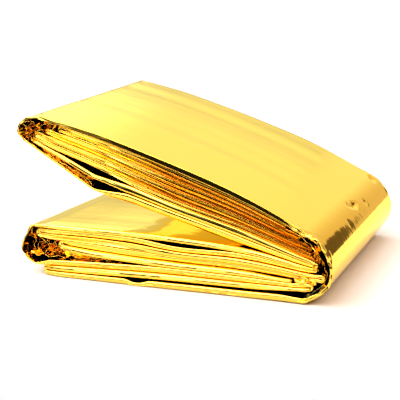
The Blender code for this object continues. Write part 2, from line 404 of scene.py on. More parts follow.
def smooth_through(knots, values, x):
    """Heights at x on a smooth curve: each span is a cubic whose end slopes come from both sides."""
    slopes = np.gradient(values, knots)
    i = np.clip(np.searchsorted(knots, x) - 1, 0, len(knots) - 2)
    gap = knots[i + 1] - knots[i]
    t = (x - knots[i]) / gap
    return (values[i] * (1 + 2 * t) * (1 - t) ** 2 + slopes[i] * gap * t * (1 - t) ** 2
            + values[i + 1] * t * t * (3 - 2 * t) - slopes[i + 1] * gap * t * t * (1 - t))


def straight_through(knots, values, x):
    """Heights at x on straight stretches between the knots, the end ones carried on past them."""
    i = np.clip(np.searchsorted(knots, x) - 1, 0, len(knots) - 2)
    return values[i] + (values[i + 1] - values[i]) * (x - knots[i]) / (knots[i + 1] - knots[i])


def cubic(start, leave, enter, end, count):
    """Points inside a cubic curve from start to end, with its two handles' ends between them."""
    t = np.linspace(0.0, 1.0, count + 2)[1:-1, None]
    return (start * (1 - t) ** 3 + 3 * leave * t * (1 - t) ** 2
            + 3 * enter * t ** 2 * (1 - t) + end * t ** 3)


def curve_through(knots, headings, counts):
    """A smooth curve through the knots: between two a cubic with handles of a third of their gap."""
    pieces = [knots[:1]]
    for i, count in enumerate(counts):
        gap = np.linalg.norm(knots[i + 1] - knots[i])
        leave = knots[i] + headings[i] * gap / 3
        enter = knots[i + 1] - headings[i + 1] * gap / 3
        pieces += [cubic(knots[i], leave, enter, knots[i + 1], count), knots[i + 1][None, :]]
    return np.vstack(pieces)


def smoothed(values, along, reach):
    """Values averaged along the strip with a bell-shaped weight of the given reach."""
    weight = np.exp(-0.5 * ((along[:, None] - along[None, :]) / reach) ** 2)
    return weight / weight.sum(axis=1, keepdims=True) @ values


def ripple(position, wave):
    """A slow uneven wave: sines of the wave's pitches and random phases, each weaker than the last.

    The first sine has the wave's amount, the second half of it, the third a third.
    """
    chance = np.random.default_rng(wave.seed)
    total = np.zeros_like(position)
    for order, pitch in enumerate(wave.pitches):
        total += np.sin(2 * np.pi * (position / pitch + chance.random())) / (order + 1)
    return wave.amount * total


def crumple(u, v, seed, pitch, count=5):
    """Crisp creases: triangle waves across a few random directions of the film, averaged.

    Each wave rises and falls in straight slopes, so that the film breaks into flat facets. Its
    direction is random, its width is 0.6 to 1.9 times the pitch, and it stands as high as it is
    wide. It is bent by a quarter of its width, in a sine about three times as long that runs
    across it.
    """
    chance = np.random.default_rng(seed)
    total = np.zeros(np.broadcast(u, v).shape)
    for _ in range(count):
        turn = chance.random() * np.pi
        width = pitch * (0.6 + 1.3 * chance.random())
        bend = 0.25 * np.sin(2 * np.pi * (u * np.sin(turn) - v * np.cos(turn)) / (width * 3.1)
                             + chance.random() * 6)
        phase = (u * np.cos(turn) + v * np.sin(turn)) / width + chance.random() + bend
        total += (np.abs((phase % 1.0) * 2 - 1) * 2 - 1) * width / pitch
    return total / count


def faceted(u, v, facets, first_seed=0):
    """The creases of one kind of facets, at u along the film and v across it."""
    return crumple(u, v * facets.closer, first_seed + facets.seed, facets.size)


# ---------------------------------------------------------------------------------------------
# The strip's path
# ---------------------------------------------------------------------------------------------

def length_points(length, leftwards):
    """Points of one length's middle line."""
    count = int(round((length.right - length.left) / STEP)) + 1
    x = np.linspace(length.left, length.right, count)
    rule = straight_through if length.crisp else smooth_through
    points = np.stack([x, rule(STATIONS, np.array(length.heights), x)], axis=1)
    return points[::-1] if leftwards else points


def fold_points(before, after):
    """Points round a tight fold, which leaves one length and enters the next in line with it."""
    reach = FOLD_BULGE * np.linalg.norm(after[0] - before[-1])
    leave = before[-1] + unit(before[-1] - before[-2]) * reach
    enter = after[0] - unit(after[1] - after[0]) * reach
    return cubic(before[-1], leave, enter, after[0], FOLD_POINTS)


def bend_points(before, through, after):
    """Points round a rounded end: a smooth curve through the end's points in turn."""
    knots = np.vstack([before[-1], through, after[0]])
    headings = np.vstack([unit(before[-1] - before[-2]), unit(knots[2:] - knots[:-2]),
                          unit(after[1] - after[0])])
    return curve_through(knots, headings, [BEND_POINTS] * (len(knots) - 1))[1:-1]


class Strip:
    """The whole strip's middle line, with what each of its points needs to carry the profile."""

    def __init__(self):
        self.lay_out()
        self.along = distances(self.points)
        self.heading = unit(np.gradient(self.points, self.along, axis=0))
        self.normal = normals(self.heading)
        in_turn = self.row % 1 > 0
        names = np.array([row.name for row in LENGTHS])[self.row.astype(int)]
        in_fold = in_turn & ~np.isin(names, list(WRAPPED))
        self.turning = smoothed(in_turn.astype(float), self.along, TURN_BLEND)
        self.tight = smoothed(in_fold.astype(float), self.along, TURN_BLEND)
        self.caps = smoothed(self.caps, self.along, CAP_BLEND).T * (1 - FOLD_THINNING * self.tight)
        self.pinch()
        self.outer, self.inner = self.thicknesses()
        x = self.points[:, 0]
        self.to_right = ramp(x, *HOLLOW_RAMP)
        self.back = self.by_row("back", BACK_BLEND)
        self.square = self.by_row("square", LIP_BLEND)
        self.lean = self.by_side("lean", LIP_BLEND, ramp(x, *LEAN_RAMP))
        self.hollow = self.by_side("hollow", HOLLOW_BLEND, self.to_right)

    def lay_out(self):
        """The line's points in turn: each length, and the fold or the rounded end after it.

        A point's row is its length's place in LENGTHS, or a number between two such places in a
        turn. Its caps are the most that the film may stand out there on its two sides. A piece of
        the strip may end at the middle point of a turn.
        """
        lengths = [length_points(row, i % 2 == 0) for i, row in enumerate(LENGTHS)]
        first_caps = (LENGTHS[0].outer, LENGTHS[0].inner)
        points, rows = [lengths[0]], [np.zeros(len(lengths[0]))]
        caps = [np.tile(first_caps, (len(lengths[0]), 1))]
        self.cut_at = {}
        for i, (row, before, after) in enumerate(zip(LENGTHS, lengths, lengths[1:])):
            bends = [bend for bend in BENDS if bend.after == row.name]
            through = [(bend.x, bend.z) for bend in bends]
            turn = bend_points(before, through, after) if bends else fold_points(before, after)
            knots = [(stop.outer, stop.inner) for stop in (row, *bends, LENGTHS[i + 1])]
            way = np.linspace(0, len(knots) - 1, len(turn))
            turn_caps = [np.interp(way, range(len(knots)), side) for side in zip(*knots)]
            self.cut_at[row.name] = sum(map(len, points)) + len(turn) // 2
            points += [turn, after]
            rows += [np.linspace(i + 0.01, i + 0.99, len(turn)), np.full(len(after), i + 1.0)]
            caps += [np.stack(turn_caps, axis=1), np.tile(knots[-1], (len(after), 1))]
        self.points = np.vstack(points)
        self.row = np.concatenate(rows)
        self.caps = np.vstack(caps)

    def pinch(self):
        """Lower the caps where PINCHES says."""
        names = [row.name for row in LENGTHS]
        x = self.points[:, 0]
        for row in PINCHES:
            here = np.abs(self.row - names.index(row.name)) < 0.5
            beyond = np.maximum(np.maximum(row.start - x, x - row.end), 0.0) / row.ramp
            cap = self.caps[0 if row.side == "outer" else 1]
            lower = np.minimum(cap, row.least + (cap - row.least) * np.minimum(beyond, 1.0))
            cap[here] = lower[here]

    def by_row(self, column, reach):
        """A column of the lips' table at each point, blended over the folds."""
        values = np.array([getattr(LIPS[row.name], column) for row in LENGTHS], float)
        return smoothed(np.interp(self.row, np.arange(len(LENGTHS)), values), self.along, reach)

    def by_side(self, column, reach, rightness):
        """A left and a right column of the lips' table, blended from one to the other."""
        left, right = self.by_row(f"{column}_left", reach), self.by_row(f"{column}_right", reach)
        return left * (1 - rightness) + right * rightness

    def thicknesses(self):
        """How far the film stands out on each side: half way to the next length, up to the cap.

        The distance to the next length is the least offset along the normal of any other point
        of the strip that lies beside this one. On the inside of a fold it also stays under the
        fold's radius.
        """
        offset = self.points[None, :, :] - self.points[:, None, :]
        beside = np.abs(np.einsum("ijk,ik->ij", offset, self.heading)) < BESIDE
        other = np.abs(self.along[None, :] - self.along[:, None]) > OWN_REACH
        rise = np.einsum("ijk,ik->ij", offset, self.normal)
        turn = np.cross(self.heading, np.gradient(self.heading, self.along, axis=0))
        sides = []
        for sign, cap in ((1.0, self.caps[0]), (-1.0, self.caps[1])):
            near = np.where(beside & other & (sign * rise > 0), sign * rise, OPEN_AIR).min(axis=1)
            radius = 1.0 / np.maximum(sign * turn, LEAST_TURN)
            room = np.minimum(near / 2 - CLEARANCE / 2, radius * RADIUS_SHARE)
            room = np.minimum(room, cap)
            lowest = np.array([room[np.abs(self.along - s) < DIP_REACH].min() for s in self.along])
            side = np.maximum(smoothed(lowest, self.along, THICKNESS_BLEND), THINNEST)
            sides.append(np.minimum(side, np.maximum(room, THINNEST)))
        return sides


# ---------------------------------------------------------------------------------------------
# The profile, and carrying it along the strip
# ---------------------------------------------------------------------------------------------

def near_lip(strip, part, share):
    """Distance of the near lip from the near edge, for each strip point and share of thickness.

    The share runs from 1 on the outer side to -1 on the inner. The lip is a rounded front, squarer
    where the lengths are pressed together. The hollow is a tub between the front's two edges, and
    the lean adds to it in proportion to the height. A fine crevice, a bell-shaped groove, opens and
    closes and wanders up and down as it goes along. The waves change each of these slowly.
    """
    along = strip.along[part][:, None]
    high = ((strip.outer + strip.inner)[part] / 2)[:, None]
    square, to_right = strip.square[part][:, None], strip.to_right[part][:, None]
    power = np.maximum(square + ripple(along, SQUARE_WAVE), LEAST_SQUARE)
    front = 1 - (1 - np.abs(share) ** power) ** (1 / power)
    depth = np.minimum(FRONT_DEPTH * high, FRONT_MOST)
    hollow = strip.hollow[part][:, None] * (1 + ripple(along, HOLLOW_WAVE))
    breadth = HOLLOW_BREADTH + HOLLOW_BROADER * to_right + ripple(along, BREADTH_WAVE)
    steep = HOLLOW_STEEP + HOLLOW_STEEPER * to_right
    tub = hollow / (1 + np.abs((share - ripple(along, MIDDLE_WAVE)) / breadth) ** steep)
    lean = strip.lean[part][:, None] * high * (1 + share) / 2
    place = CREVICE_PLACE + ripple(along, CREVICE_WAVE)
    opening = np.clip(CREVICE_OPEN + ripple(along, OPEN_WAVE), 0.0, 1.0)
    opening = opening * np.clip(1 - hollow / CREVICE_HOLLOW, 0.0, 1.0) * (square < CREVICE_SQUARE)
    crevice = CREVICE_DEPTH * opening * np.exp(-((share - place) / CREVICE_BREADTH) ** 2)
    uneven = ripple(along, FRONT_WAVE) * (1 - share ** 2)
    return depth * front + tub + lean + crevice + uneven


def carry(strip, part, outer_points, inner_points):
    """Carry the profile along a part of the strip: X, Y and Z of a grid of points, in millimetres.

    Round the profile come the near lip from the outer side to the inner, the inner face, the far
    lips and the outer face. Each point is moved from the strip's line along its normal, and Y goes
    across the strip. The grid's place on the unrolled film is returned with it.
    """
    along = strip.along[part][:, None]
    outer, inner = strip.outer[part][:, None], strip.inner[part][:, None]
    centre, half = (outer - inner) / 2, (outer + inner) / 2
    near_edge = strip.back[part][:, None] + NEAR_SETBACK + ripple(along, NEAR_EDGE_WAVE)
    near_edge = near_edge + FOLD_SETBACK * strip.tight[part][:, None]
    far_edge = WIDTH - FAR_SETBACK - ripple(along, FAR_EDGE_WAVE)

    share = np.sin(np.linspace(np.pi / 2, -np.pi / 2, NEAR_POINTS))[None, :]
    lip = near_edge + near_lip(strip, part, share)
    lobe = np.linspace(-np.pi / 2, np.pi / 2, FAR_POINTS)
    far_share = np.concatenate([(2 * i + 1 + FAR_LOBE * np.sin(lobe)) / FAR_LIPS - 1
                                for i in range(FAR_LIPS)])[None, :]
    roll = np.tile(1 - np.cos(lobe), FAR_LIPS)[None, :]
    far = far_edge - np.minimum(half / FAR_LIPS * FAR_ROLL, FAR_ROLL_MOST) * roll

    inner_way = np.linspace(0.0, 1.0, inner_points + 2)[None, 1:-1]
    outer_way = np.linspace(0.0, 1.0, outer_points + 2)[None, 1:-1]
    y = np.hstack([lip, lip[:, -1:] + (far[:, :1] - lip[:, -1:]) * inner_way,
                   far, far[:, -1:] + (lip[:, :1] - far[:, -1:]) * outer_way])
    n = np.hstack([centre + half * share, np.repeat(-inner, inner_points, axis=1),
                   centre + half * far_share, np.repeat(outer, outer_points, axis=1)])
    n, y = creased(strip, part, n, y, np.minimum(outer, inner))
    n[:, -outer_points:] -= dented(strip, part, y[:, -outer_points:])
    x = strip.points[part, 0][:, None] + n * strip.normal[part, 0][:, None]
    z = strip.points[part, 1][:, None] + n * strip.normal[part, 1][:, None]
    gaps = np.hypot(np.diff(y, axis=1), np.diff(n, axis=1))
    across = np.hstack([np.zeros_like(along), np.cumsum(gaps, axis=1)])
    flat = np.stack([np.repeat(along, y.shape[1], axis=1), across], axis=-1)
    return x, y, z, flat


def creased(strip, part, n, y, room):
    """Push the profile's points by creases: crisp and deep at the turns, slight along a length.

    The creases fade away from the edges, and the closed round end is creased only at its edges.
    Thin film is pushed less. A slow wave across the faces makes their lengthwise streaks.
    """
    along = strip.along[part][:, None]
    turning = strip.turning[part][:, None]
    smooth_end = ramp(strip.points[part, 0][:, None], *ROUND_RAMP)
    at_edge = np.exp(-np.minimum(y, WIDTH - y) / (EDGE_REACH - ROUND_LESS * smooth_end))
    inside = INSIDE_SHARE * (1 - smooth_end)
    depth = turning * (inside + (1 - inside) * at_edge)
    depth = depth * np.clip(THICKNESS_SHARE * room, THIN_SHARE, 1.0)
    crisp = LARGE_PUSH * faceted(along, y, LARGE_FACETS) + FINE_PUSH * faceted(along, y, FINE_FACETS)
    soft = SOFT_PUSH * faceted(along, n, SOFT_FACETS)
    streaks = ripple(y + STREAK_SLANT * along, FACE_WAVE)
    in_and_out = (EDGE_PUSH * depth + EDGE_LEAST) * faceted(along, n, EDGE_FACETS)
    n = n + depth * crisp + at_edge * soft + (1 - at_edge) * (1 - smooth_end) * streaks
    return n, y + at_edge * in_and_out


def dented(strip, part, y):
    """Depth of the dents at the outer face's points: each is a sharp-edged hollow with four sides.

    It is deepest in the middle, and goes up to nothing in proportion to the sum of the distances
    along its two half sizes.
    """
    depth = np.zeros_like(y)
    for dent in DENTS:
        far = np.hypot(strip.points[:, 0] - dent.x, strip.points[:, 1] - dent.z)
        round_way = strip.along[part][:, None] - strip.along[far.argmin()]
        a = round_way * np.cos(dent.turn) + (y - dent.y) * np.sin(dent.turn)
        b = (y - dent.y) * np.cos(dent.turn) - round_way * np.sin(dent.turn)
        depth += dent.depth * np.clip(1 - np.abs(a) / dent.round - np.abs(b) / dent.across, 0.0, 1.0)
    return depth


def placed(x, y, z):
    """The grid in the packet's own frame, in metres. The lower left end's far part is skewed.

    It is pulled to the right in proportion to Y, most at the table's height and not at all at the
    round end.
    """
    leftness = 1 - ramp(x, 0.0, PACKET_RIGHT)
    lowness = 1 - ramp(z, LOWER_TOP, LOWER_TOP + SKEW_FADE)
    x = x + LOWER_SKEW * leftness * lowness * y / WIDTH
    low = CAD_BOX[0]
    return np.stack([(x - PACKET_LEFT) * MM + low[0], y * MM + low[1],
                     np.maximum(z, 0.0) * MM + low[2]], axis=-1)


# ---------------------------------------------------------------------------------------------
# Materials
# ---------------------------------------------------------------------------------------------

def node(tree, kind, label, place, **settings):
    """A new node of the tree with its label, place and settings."""
    made = tree.nodes.new(kind)
    made.label, made.name, made.location = label, label, place
    for name, value in settings.items():
        setattr(made, name, value)
    return made


def film_creases():
    """Node group of the film's fine relief: soft wrinkles and the streaks that run lengthwise."""
    group = bpy.data.node_groups.new("Film creases", "ShaderNodeTree")
    face = group.interface
    face.new_socket("Position", in_out="INPUT", socket_type="NodeSocketVector")
    strength = face.new_socket("Strength", in_out="INPUT", socket_type="NodeSocketFloat")
    strength.default_value = 0.3
    face.new_socket("Normal", in_out="OUTPUT", socket_type="NodeSocketVector")
    enter = node(group, "NodeGroupInput", "What comes in", (-900, 0))
    leave = node(group, "NodeGroupOutput", "What goes out", (500, 0))
    stretch = node(group, "ShaderNodeMapping", "Stretched lengthwise", (-700, 150))
    stretch.inputs["Scale"].default_value = (9.0, 130.0, 40.0)
    streaks = node(group, "ShaderNodeTexNoise", "Streaks", (-480, 150))
    streaks.inputs["Scale"].default_value = 1.0
    streaks.inputs["Detail"].default_value = 2.0
    wrinkles = node(group, "ShaderNodeTexNoise", "Wrinkles", (-480, -120))
    wrinkles.inputs["Scale"].default_value = 260.0
    wrinkles.inputs["Detail"].default_value = 2.0
    both = node(group, "ShaderNodeMath", "Streaks and wrinkles", (-220, 60), operation="MULTIPLY_ADD")
    both.inputs[1].default_value = 0.35
    relief = node(group, "ShaderNodeBump", "Relief", (120, -60))
    relief.inputs["Distance"].default_value = 0.0004
    link = group.links.new
    link(enter.outputs["Position"], stretch.inputs["Vector"])
    link(stretch.outputs["Vector"], streaks.inputs["Vector"])
    link(enter.outputs["Position"], wrinkles.inputs["Vector"])
    link(wrinkles.outputs["Fac"], both.inputs[0])
    link(streaks.outputs["Fac"], both.inputs[2])
    link(both.outputs["Value"], relief.inputs["Height"])
    link(enter.outputs["Strength"], relief.inputs["Strength"])
    link(relief.outputs["Normal"], leave.inputs["Normal"])
    return group


def gold_film(props):
    """The film: a gold mirror, a little blurred, with fine creases."""
    material = bpy.data.materials.new(FILM_NAME)
    material.use_nodes = True
    tree = material.node_tree
    shader = tree.nodes["Principled BSDF"]
    shader.inputs["Base Color"].default_value = (*props.film_colour, 1.0)
    shader.inputs["Metallic"].default_value = 1.0
    shader.inputs["Roughness"].default_value = props.film_roughness
    shader.inputs["Specular Tint"].default_value = (*props.glancing_tint, 1.0)
    place = node(tree, "ShaderNodeTexCoord", "Place on the packet", (-700, 0))
    creases = node(tree, "ShaderNodeGroup", "Film creases", (-400, 0))
    creases.node_tree = bpy.data.node_groups.get("Film creases") or film_creases()
    creases.inputs["Strength"].default_value = props.crease_strength
    tree.links.new(place.outputs["Object"], creases.inputs["Position"])
    tree.links.new(creases.outputs["Normal"], shader.inputs["Normal"])
    return material


# ---------------------------------------------------------------------------------------------
# Pieces
# ---------------------------------------------------------------------------------------------

def film_mesh(name, grid, flat):
    """A closed mesh of a grid of points whose second direction closes on itself, ends capped.

    flat holds each point's place on the unrolled film, and becomes the UV map.
    """
    rings, across = grid.shape[:2]
    index = np.arange(rings * across).reshape(rings, across)
    turned = np.roll(index, -1, axis=1)
    quads = np.stack([index[:-1], turned[:-1], turned[1:], index[1:]], axis=-1).reshape(-1, 4)
    hubs = rings * across + np.arange(2)
    caps = np.vstack([
        np.stack([turned[0], index[0], np.full(across, hubs[0])], axis=-1),
        np.stack([index[-1], turned[-1], np.full(across, hubs[1])], axis=-1),
    ])
    points = np.vstack([grid.reshape(-1, 3), grid[0].mean(axis=0), grid[-1].mean(axis=0)])
    mesh = bpy.data.meshes.new(name)
    mesh.from_pydata(points.tolist(), [], quads.tolist() + caps.tolist())
    mesh.update()
    flat_points = np.vstack([flat.reshape(-1, 2), flat[0].mean(axis=0), flat[-1].mean(axis=0)])
    corners = np.empty(len(mesh.loops), np.int32)
    mesh.loops.foreach_get("vertex_index", corners)
    layer = mesh.uv_layers.new(name="film")
    layer.data.foreach_set("uv", flat_points[corners].astype(np.float32).ravel())
    return mesh


def film_object(props, mesh):
    """The smooth-shaded object of a mesh of film, which rides the body and stands for its node."""
    mesh.polygons.foreach_set("use_smooth", np.ones(len(mesh.polygons), bool))
    mesh.materials.append(bpy.data.materials.get(FILM_NAME) or gold_film(props))
    piece = bpy.data.objects.new(mesh.name, mesh)
    bpy.context.scene.collection.objects.link(piece)
    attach(piece, BODY)
    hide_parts(NODE)
    return piece


def film_piece(props, name, first, last, outer_points, inner_points):
    """One piece of the strip, from the turn after one length to the turn after another.

    An empty name stands for the strip's own end.
    """
    strip = Strip()
    start = strip.cut_at[first] if first else 0
    stop = strip.cut_at[last] + 1 if last else len(strip.points)
    x, y, z, flat = carry(strip, slice(start, stop), outer_points, inner_points)
    piece = film_object(props, film_mesh(name, placed(x, y, z), flat))
    return piece


def ply_grid(ply, seed):
    """One loose ply's grid and flat area: its edge runs smoothly through the ply's points.

    The film goes straight back from that edge, with its rows closest at the front. Creases push it
    along the edge line's normal, and its front edge is ragged.
    """
    knots = np.array(ply.points)
    gaps = np.linalg.norm(np.diff(knots, axis=0), axis=1)
    counts = [max(int(gap / PLY_STEP), 2) for gap in gaps]
    line = curve_through(knots, unit(np.gradient(knots, axis=0)), counts)
    along = distances(line)
    normal = normals(unit(np.gradient(line, along, axis=0)))
    depth = min(ply.depth, WIDTH - PLY_FAR_GAP - ply.back)
    u = along[:, None]
    v = (np.linspace(0.0, 1.0, PLY_ROWS) ** PLY_CROWDING * depth)[None, :]
    push = PLY_PUSH * faceted(u, v, PLY_FACETS, seed)
    push = push + PLY_FINE_PUSH * faceted(u, v, PLY_FINE_FACETS, seed)
    ragged = PLY_RAG * faceted(u, v, PLY_RAG_FACETS, seed) * np.exp(-v / PLY_RAG_REACH)
    y = ply.back + v + ragged + PLY_FRONT
    x = line[:, 0][:, None] + push * normal[:, 0][:, None]
    z = line[:, 1][:, None] + push * normal[:, 1][:, None]
    return placed(x, y, z), along[-1] * depth


def web_grid(web, seed):
    """One crumpled web's grid and flat area: a grid between its corners, pushed by crisp creases.

    Each point is the average of the four corners, weighted by how near it is to each. The creases
    push it back and forth, and a little up and sideways.
    """
    low_left, low_right, high_left, high_right = (np.array(corner) for corner in web[4:])
    length = np.linalg.norm((low_right + high_right - low_left - high_left) / 2)
    height = np.linalg.norm((high_left + high_right - low_left - low_right) / 2)
    u = np.linspace(0.0, 1.0, max(int(length / WEB_STEP), 4))[:, None]
    v = np.linspace(0.0, 1.0, max(int(height / WEB_STEP), 4))[None, :]
    x, z = [low_left[i] * (1 - u) * (1 - v) + low_right[i] * u * (1 - v)
            + high_left[i] * (1 - u) * v + high_right[i] * u * v for i in range(2)]
    a, b = u * length, v * height
    y = web.back + web.height * crumple(a * web.crowding, b, seed, web.pitch, 4)
    x = x + WEB_SWAY * height * crumple(a, b, seed + 2, web.pitch)
    z = z + WEB_SWAY * height * crumple(a, b, seed + 3, web.pitch)
    return placed(x, np.maximum(y, WEB_FRONT), z), WEB_SLACK * length * height


def loose_plies(props):
    """The loose plies and the webs that show inside the ends, as one piece."""
    sheets = [ply_grid(ply, PLY_SEED + SEED_STEP * i) for i, ply in enumerate(PLIES)]
    sheets += [web_grid(web, WEB_SEED + SEED_STEP * i) for i, web in enumerate(WEBS)]
    points, faces, start = [], [], 0
    for grid, _ in sheets:
        rows, columns = grid.shape[:2]
        index = start + np.arange(rows * columns).reshape(rows, columns)
        faces.append(np.stack([index[:-1, :-1], index[1:, :-1], index[1:, 1:], index[:-1, 1:]],
                              axis=-1).reshape(-1, 4))
        points.append(grid.reshape(-1, 3))
        start += rows * columns
    mesh = bpy.data.meshes.new("loose_plies")
    mesh.from_pydata(np.vstack(points).tolist(), [], np.vstack(faces).tolist())
    mesh.update()
    piece = film_object(props, mesh)
    thickness = piece.modifiers.new("film_thickness", "SOLIDIFY")
    thickness.thickness = props.ply_thickness
    thickness.offset = 0.0
    return piece


# ---------------------------------------------------------------------------------------------
# The studio's sky
# ---------------------------------------------------------------------------------------------

# Its parts. Each is a smooth step along one part of the direction, with X to the right, Y to the
# back and Z up, or slanted, which is X and a share of Z. It is 0 at the first number, 1 at the next.
SKY_STEPS = {
    "near side": ("y", 0.25, 0.05),
    "high up": ("z", 0.40, 0.52),
    "tube from below": ("z", 0.58, 0.63),
    "tube from above": ("z", 0.90, 0.85),
    "left": ("x", -0.20, -0.48),
    "back": ("y", -0.1, 0.4),
    "right": ("x", -0.02, 0.28),
    "ceiling": ("z", 0.38, 0.48),
    "raised": ("z", 0.20, 0.36),
    "not left": ("x", -0.15, 0.05),
    "front": ("y", 0.15, -0.25),
    "low": ("z", 0.42, 0.02),
    "far right": ("x", 0.48, 0.62),
    "below the lamps": ("z", 0.75, 0.55),
    "past the wall": ("slanted", 0.3400, 0.3425),
    "door height": ("z", 0.25, 0.20),
}
SLANT = 0.3                  # the share of Z in the slanted direction
WALL_LIGHT = 1.45            # brightness of the walls
RIGHT_DIMMING = 0.40         # how much less the right wall has
CEILING_LIGHT = 0.22         # how much more the ceiling has
SOFT_BOX_LIGHT = 1.9         # what the soft box over the near side adds
TUBE_LIGHT = 6.0             # what its tube adds
SIDE_LIGHT = 2.0             # what the lamp at the back left adds
HAZE_LIGHT = 0.30            # share of the light that is left low down at the left
DOOR_DARKNESS = 0.84         # share of the light that the doorway takes away
LEAST_LIGHT = 0.02           # brightness of the darkest part
RIGHT_TINT = (1.0, 0.76, 0.60, 1.0)
DOOR_TINT = (1.0, 0.68, 0.45, 1.0)
WHITE = (1.0, 1.0, 1.0, 1.0)
ROW_LENGTH = 8               # nodes of the sky in a row of the node editor
NODE_GAP = 200               # and the distance between them


def studio_sky(scene, strength):
    """The sky: white to the eye, and as light brightest overhead and at the back left.

    The side that the near edges face is dark up to a low height, as a room is beyond the lamps. At
    the right are a dimmer warm wall and a dark brown doorway, and beyond them it is dark.
    """
    world = bpy.data.worlds.new("Studio sky")
    scene.world = world
    world.use_nodes = True
    tree = world.node_tree
    tree.nodes.clear()
    link = tree.links.new

    def sky_node(kind, label, **settings):
        row, column = divmod(len(tree.nodes), ROW_LENGTH)
        return node(tree, kind, label, (column * NODE_GAP, -row * NODE_GAP), **settings)

    def maths(operation, first, second, label):
        made = sky_node("ShaderNodeMath", label, operation=operation)
        for socket, value in zip(made.inputs, (first, second)):
            if isinstance(value, float):
                socket.default_value = value
            else:
                link(value, socket)
        return made.outputs["Value"]

    def smooth_step(source, low, high, label):
        made = sky_node("ShaderNodeMapRange", label, interpolation_type="SMOOTHSTEP")
        made.inputs["From Min"].default_value = low
        made.inputs["From Max"].default_value = high
        link(source, made.inputs["Value"])
        return made.outputs["Result"]

    def tinted(first, colour, share, label):
        made = sky_node("ShaderNodeMix", label, data_type="RGBA")
        made.inputs["B"].default_value = colour
        link(share, made.inputs["Factor"])
        if isinstance(first, tuple):
            made.inputs["A"].default_value = first
        else:
            link(first, made.inputs["A"])
        return made.outputs["Result"]

    way = sky_node("ShaderNodeTexCoord", "direction")
    parts = sky_node("ShaderNodeSeparateXYZ", "parts of the direction")
    link(way.outputs["Generated"], parts.inputs["Vector"])
    x, y, z = parts.outputs
    slanted = maths("ADD", x, maths("MULTIPLY", z, SLANT, "slope"), "slanted")
    ways = {"x": x, "y": y, "z": z, "slanted": slanted}
    sky = {label: smooth_step(ways[axis], low, high, label)
           for label, (axis, low, high) in SKY_STEPS.items()}

    overhead = maths("MULTIPLY", sky["high up"], sky["near side"], "overhead")
    tube = maths("MULTIPLY", sky["tube from below"], sky["tube from above"], "tube")
    tube = maths("MULTIPLY", tube, TUBE_LIGHT, "tube light")
    soft_box = maths("ADD", tube, SOFT_BOX_LIGHT, "soft box light")
    soft_box = maths("MULTIPLY", overhead, soft_box, "overhead light")
    side = maths("MULTIPLY", sky["left"], sky["back"], "back left")
    side = maths("MULTIPLY", side, SIDE_LIGHT, "side light")
    lamps = maths("ADD", soft_box, side, "lamps")
    walls = maths("MULTIPLY", sky["ceiling"], CEILING_LIGHT, "ceiling light")
    walls = maths("ADD", walls, WALL_LIGHT, "wall light")
    dimmer = maths("MULTIPLY", sky["right"], RIGHT_DIMMING, "dimmer right")
    walls = maths("SUBTRACT", walls, dimmer, "walls")
    clear = maths("MAXIMUM", sky["raised"], sky["not left"], "above the haze")
    clear = maths("MULTIPLY", clear, 1.0 - HAZE_LIGHT, "clear share")
    clear = maths("ADD", clear, HAZE_LIGHT, "clearness")
    door = maths("MULTIPLY", sky["past the wall"], sky["door height"], "doorway")
    dark_door = maths("MULTIPLY", door, DOOR_DARKNESS, "dark doorway")
    far_right = maths("MULTIPLY", sky["far right"], sky["below the lamps"], "dark far right")
    dark = maths("MULTIPLY", sky["front"], sky["low"], "dark low front")
    dark = maths("MAXIMUM", dark, maths("MAXIMUM", far_right, dark_door, "dark right"), "all dark")
    lit = maths("SUBTRACT", 1.0, dark, "lit share")

    total = maths("ADD", lamps, walls, "all light")
    total = maths("MULTIPLY", total, clear, "light through the haze")
    total = maths("MULTIPLY", total, lit, "light outside the dark")
    total = maths("ADD", total, LEAST_LIGHT, "never black")
    total = maths("MULTIPLY", total, float(strength), "strength")
    wall_colour = tinted(WHITE, RIGHT_TINT, sky["right"], "warm right wall")
    colour = tinted(wall_colour, DOOR_TINT, door, "brown doorway")
    light = sky_node("ShaderNodeBackground", "soft light")
    link(total, light.inputs["Strength"])
    link(colour, light.inputs["Color"])
    backdrop = sky_node("ShaderNodeBackground", "white backdrop")
    backdrop.inputs["Color"].default_value = WHITE
    rays = sky_node("ShaderNodeLightPath", "kind of ray")
    pick = sky_node("ShaderNodeMixShader", "backdrop to the eye")
    link(rays.outputs["Is Camera Ray"], pick.inputs["Fac"])
    link(light.outputs["Background"], pick.inputs[1])
    link(backdrop.outputs["Background"], pick.inputs[2])
    end = sky_node("ShaderNodeOutputWorld", "world")
    link(pick.outputs["Shader"], end.inputs["Surface"])


# ---------------------------------------------------------------------------------------------
# The floor and the camera
# ---------------------------------------------------------------------------------------------

def paper_floor(scene, colour):
    """The paper under the packet: one flat sheet, which ends a little in front of it."""
    mesh = bpy.data.meshes.new("floor")
    corners = [(-FLOOR_FAR, FLOOR_FRONT, 0.0), (FLOOR_FAR, FLOOR_FRONT, 0.0),
               (FLOOR_FAR, FLOOR_FAR, 0.0), (-FLOOR_FAR, FLOOR_FAR, 0.0)]
    mesh.from_pydata(corners, [], [(0, 1, 2, 3)])
    paper = bpy.data.materials.new("floor_paper")
    paper.use_nodes = True
    shader = paper.node_tree.nodes["Principled BSDF"]
    shader.inputs["Base Color"].default_value = (*colour, 1.0)
    shader.inputs["Roughness"].default_value = 0.9
    shader.inputs["Specular IOR Level"].default_value = 0.2
    mesh.materials.append(paper)
    floor = bpy.data.objects.new("floor", mesh)
    scene.collection.objects.link(floor)


